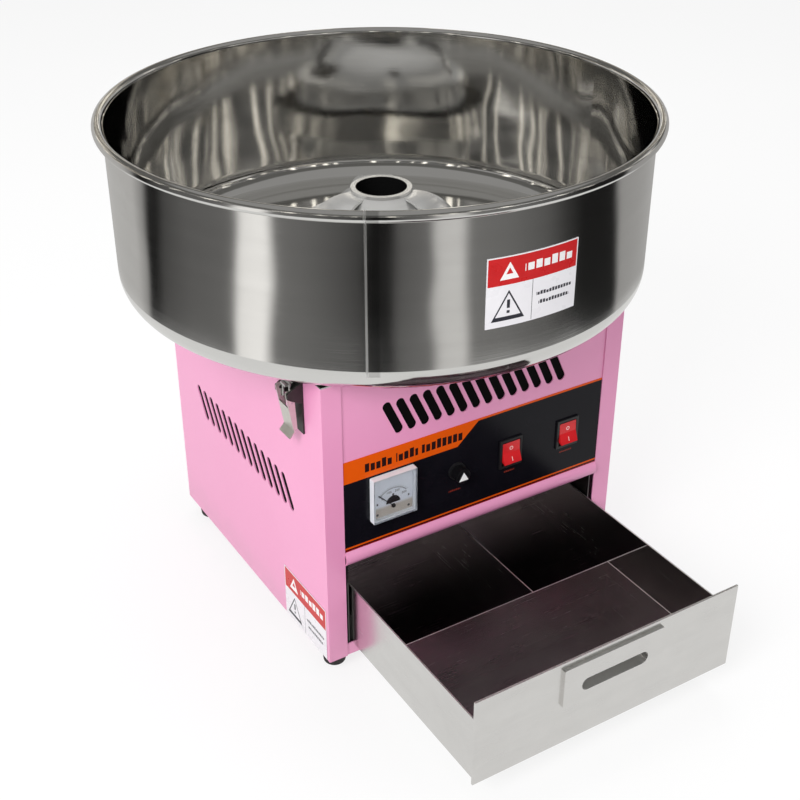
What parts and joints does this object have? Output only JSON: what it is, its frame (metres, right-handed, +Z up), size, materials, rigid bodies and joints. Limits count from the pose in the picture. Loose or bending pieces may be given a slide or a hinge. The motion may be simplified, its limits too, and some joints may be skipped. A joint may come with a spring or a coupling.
{
  "type": "cotton candy machine",
  "caption": "Tabletop cotton candy machine: a steel cabinet with a wide round bowl, a spinning head, a control panel and a divided drawer.",
  "frame": {"origin": "on the floor, in the middle of the footprint with the drawer open as at rest; the spin axis stands 60.85 mm behind it", "axes": "+Z up, +Y to the back, -Y to the drawer and the controls, +X to the right when facing the controls from the front"},
  "size_m": [0.5199, 0.6417, 0.4842],
  "materials": {
    "pink_paint": "glossy powder coat",
    "polished_steel": "polished stainless steel",
    "satin_steel": "brushed stainless steel",
    "zinc_steel": "zinc plated",
    "dark_steel": "black oxide",
    "polished_aluminium": "turned and polished",
    "motor_enamel": "enamel",
    "black_rubber": "matt",
    "black_plastic": "fine grain",
    "overlay_film": "printed film, black with orange bands",
    "clear_plastic": "clear",
    "white_dial": "printed white",
    "red_lens": "translucent red",
    "slip_brass": "turned",
    "brown_phenolic": "moulded",
    "carbon": "pressed carbon",
    "white_ceramic": "glazed ceramic",
    "heater_steel": "heat-tinted",
    "fuse_glass": "clear glass",
    "printed_label": "printed film, red and white"
  },
  "bodies": {
    "cabinet": {"base_pan": "pink_paint", "left_side_panel": "pink_paint", "right_side_panel": "pink_paint", "front_panel": "pink_paint", "back_panel": "pink_paint", "top_plate": "pink_paint", "control_overlay": "overlay_film", "drawer_bay": "zinc_steel", "drawer_runners": "zinc_steel", "rubber_feet": "black_rubber", "foot_screws": "zinc_steel", "panel_screws": "zinc_steel", "inlet_socket": "black_plastic", "terminal_block": "brown_phenolic", "meter_case": "black_plastic", "meter_dial": "white_dial", "meter_window": "clear_plastic", "fuse_holder": "black_plastic", "heat_switch_frame": "black_plastic", "motor_switch_frame": "black_plastic", "motor_bracket": "zinc_steel", "motor_mounts": "black_rubber", "motor_shell": "motor_enamel", "motor_end_bells": "motor_enamel", "brush_holders": "brown_phenolic", "carbon_brushes": "carbon", "bowl": "polished_steel", "bowl_keepers": "zinc_steel", "latch_bases": "dark_steel"},
    "spinner": {"armature": "dark_steel", "slip_rings": "slip_brass", "ring_insulator": "brown_phenolic", "spindle": "zinc_steel", "cooling_fan": "black_plastic", "head_base": "polished_aluminium", "head_posts": "polished_aluminium", "heater_insulators": "white_ceramic", "heater_coil": "heater_steel", "screen_band": "polished_aluminium", "head_lid": "polished_aluminium", "head_screws": "zinc_steel"},
    "drawer": {"drawer_box": "satin_steel", "drawer_front": "satin_steel", "handle_plate": "satin_steel", "cross_divider": "satin_steel", "front_divider": "satin_steel", "rear_divider": "satin_steel"},
    "heat_rocker": {"heat_rocker": "red_lens"},
    "motor_rocker": {"motor_rocker": "red_lens"},
    "meter_needle": {"meter_needle": "black_plastic"},
    "fuse_link": {"fuse_link": "fuse_glass"},
    "fuse_cap": {"fuse_cap": "black_plastic"},
    "latch_lever_front_left": {"latch_lever_front_left": "zinc_steel"},
    "latch_bail_front_left": {"latch_bail_front_left": "zinc_steel"},
    "latch_lever_rear_left": {"latch_lever_rear_left": "zinc_steel"},
    "latch_bail_rear_left": {"latch_bail_rear_left": "zinc_steel"},
    "latch_lever_front_right": {"latch_lever_front_right": "zinc_steel"},
    "latch_bail_front_right": {"latch_bail_front_right": "zinc_steel"},
    "latch_lever_rear_right": {"latch_lever_rear_right": "zinc_steel"},
    "latch_bail_rear_right": {"latch_bail_rear_right": "zinc_steel"}
  },
  "joints": [
    {"name": "head_spin", "type": "hinge", "parent": "cabinet", "child": "spinner", "pos_m": [0, 0.06085, 0.338], "axis": [0, 0, 1], "continuous": true},
    {"name": "drawer_slide", "type": "slide", "parent": "cabinet", "child": "drawer", "axis": [0, -1, 0], "range_m": [-0.2059, 0.05]},
    {"name": "heat_rocker_tip", "type": "hinge", "parent": "cabinet", "child": "heat_rocker", "pos_m": [0.037, -0.11015, 0.187], "axis": [1, 0, 0], "range_deg": [0, 24]},
    {"name": "motor_rocker_tip", "type": "hinge", "parent": "cabinet", "child": "motor_rocker", "pos_m": [0.104, -0.11015, 0.187], "axis": [1, 0, 0], "range_deg": [0, 24]},
    {"name": "meter_needle_swing", "type": "hinge", "parent": "cabinet", "child": "meter_needle", "pos_m": [-0.0936, -0.11315, 0.175], "axis": [0, 1, 0], "range_deg": [0, 90]},
    {"name": "fuse_pull", "type": "slide", "parent": "cabinet", "child": "fuse_link", "axis": [0, -1, 0], "range_m": [0, 0.045]},
    {"name": "fuse_cap_turn", "type": "hinge", "parent": "fuse_link", "child": "fuse_cap", "pos_m": [-0.024, -0.11115, 0.187], "axis": [0, 1, 0], "range_deg": [0, 90]},
    {"name": "latch_lever_front_left_swing", "type": "hinge", "parent": "cabinet", "child": "latch_lever_front_left", "pos_m": [-0.1744, -0.06895, 0.2972], "axis": [0, 1, 0], "range_deg": [0, 95]},
    {"name": "latch_bail_front_left_swing", "type": "hinge", "parent": "latch_lever_front_left", "child": "latch_bail_front_left", "pos_m": [-0.1729, -0.06895, 0.2892], "axis": [0, 1, 0], "range_deg": [-95, 0]},
    {"name": "latch_lever_rear_left_swing", "type": "hinge", "parent": "cabinet", "child": "latch_lever_rear_left", "pos_m": [-0.1744, 0.17585, 0.2972], "axis": [0, 1, 0], "range_deg": [0, 95]},
    {"name": "latch_bail_rear_left_swing", "type": "hinge", "parent": "latch_lever_rear_left", "child": "latch_bail_rear_left", "pos_m": [-0.1729, 0.17585, 0.2892], "axis": [0, 1, 0], "range_deg": [-95, 0]},
    {"name": "latch_lever_front_right_swing", "type": "hinge", "parent": "cabinet", "child": "latch_lever_front_right", "pos_m": [0.1744, -0.06895, 0.2972], "axis": [0, -1, 0], "range_deg": [0, 95]},
    {"name": "latch_bail_front_right_swing", "type": "hinge", "parent": "latch_lever_front_right", "child": "latch_bail_front_right", "pos_m": [0.1729, -0.06895, 0.2892], "axis": [0, -1, 0], "range_deg": [-95, 0]},
    {"name": "latch_lever_rear_right_swing", "type": "hinge", "parent": "cabinet", "child": "latch_lever_rear_right", "pos_m": [0.1744, 0.17585, 0.2972], "axis": [0, -1, 0], "range_deg": [0, 95]},
    {"name": "latch_bail_rear_right_swing", "type": "hinge", "parent": "latch_lever_rear_right", "child": "latch_bail_rear_right", "pos_m": [0.1729, 0.17585, 0.2892], "axis": [0, -1, 0], "range_deg": [-95, 0]}
  ],
  "couplings": [
    {"joint": "latch_bail_front_left_swing", "follows": "latch_lever_front_left_swing", "ratio": -1},
    {"joint": "latch_bail_rear_left_swing", "follows": "latch_lever_rear_left_swing", "ratio": -1},
    {"joint": "latch_bail_front_right_swing", "follows": "latch_lever_front_right_swing", "ratio": -1},
    {"joint": "latch_bail_rear_right_swing", "follows": "latch_lever_rear_right_swing", "ratio": -1}
  ]
}
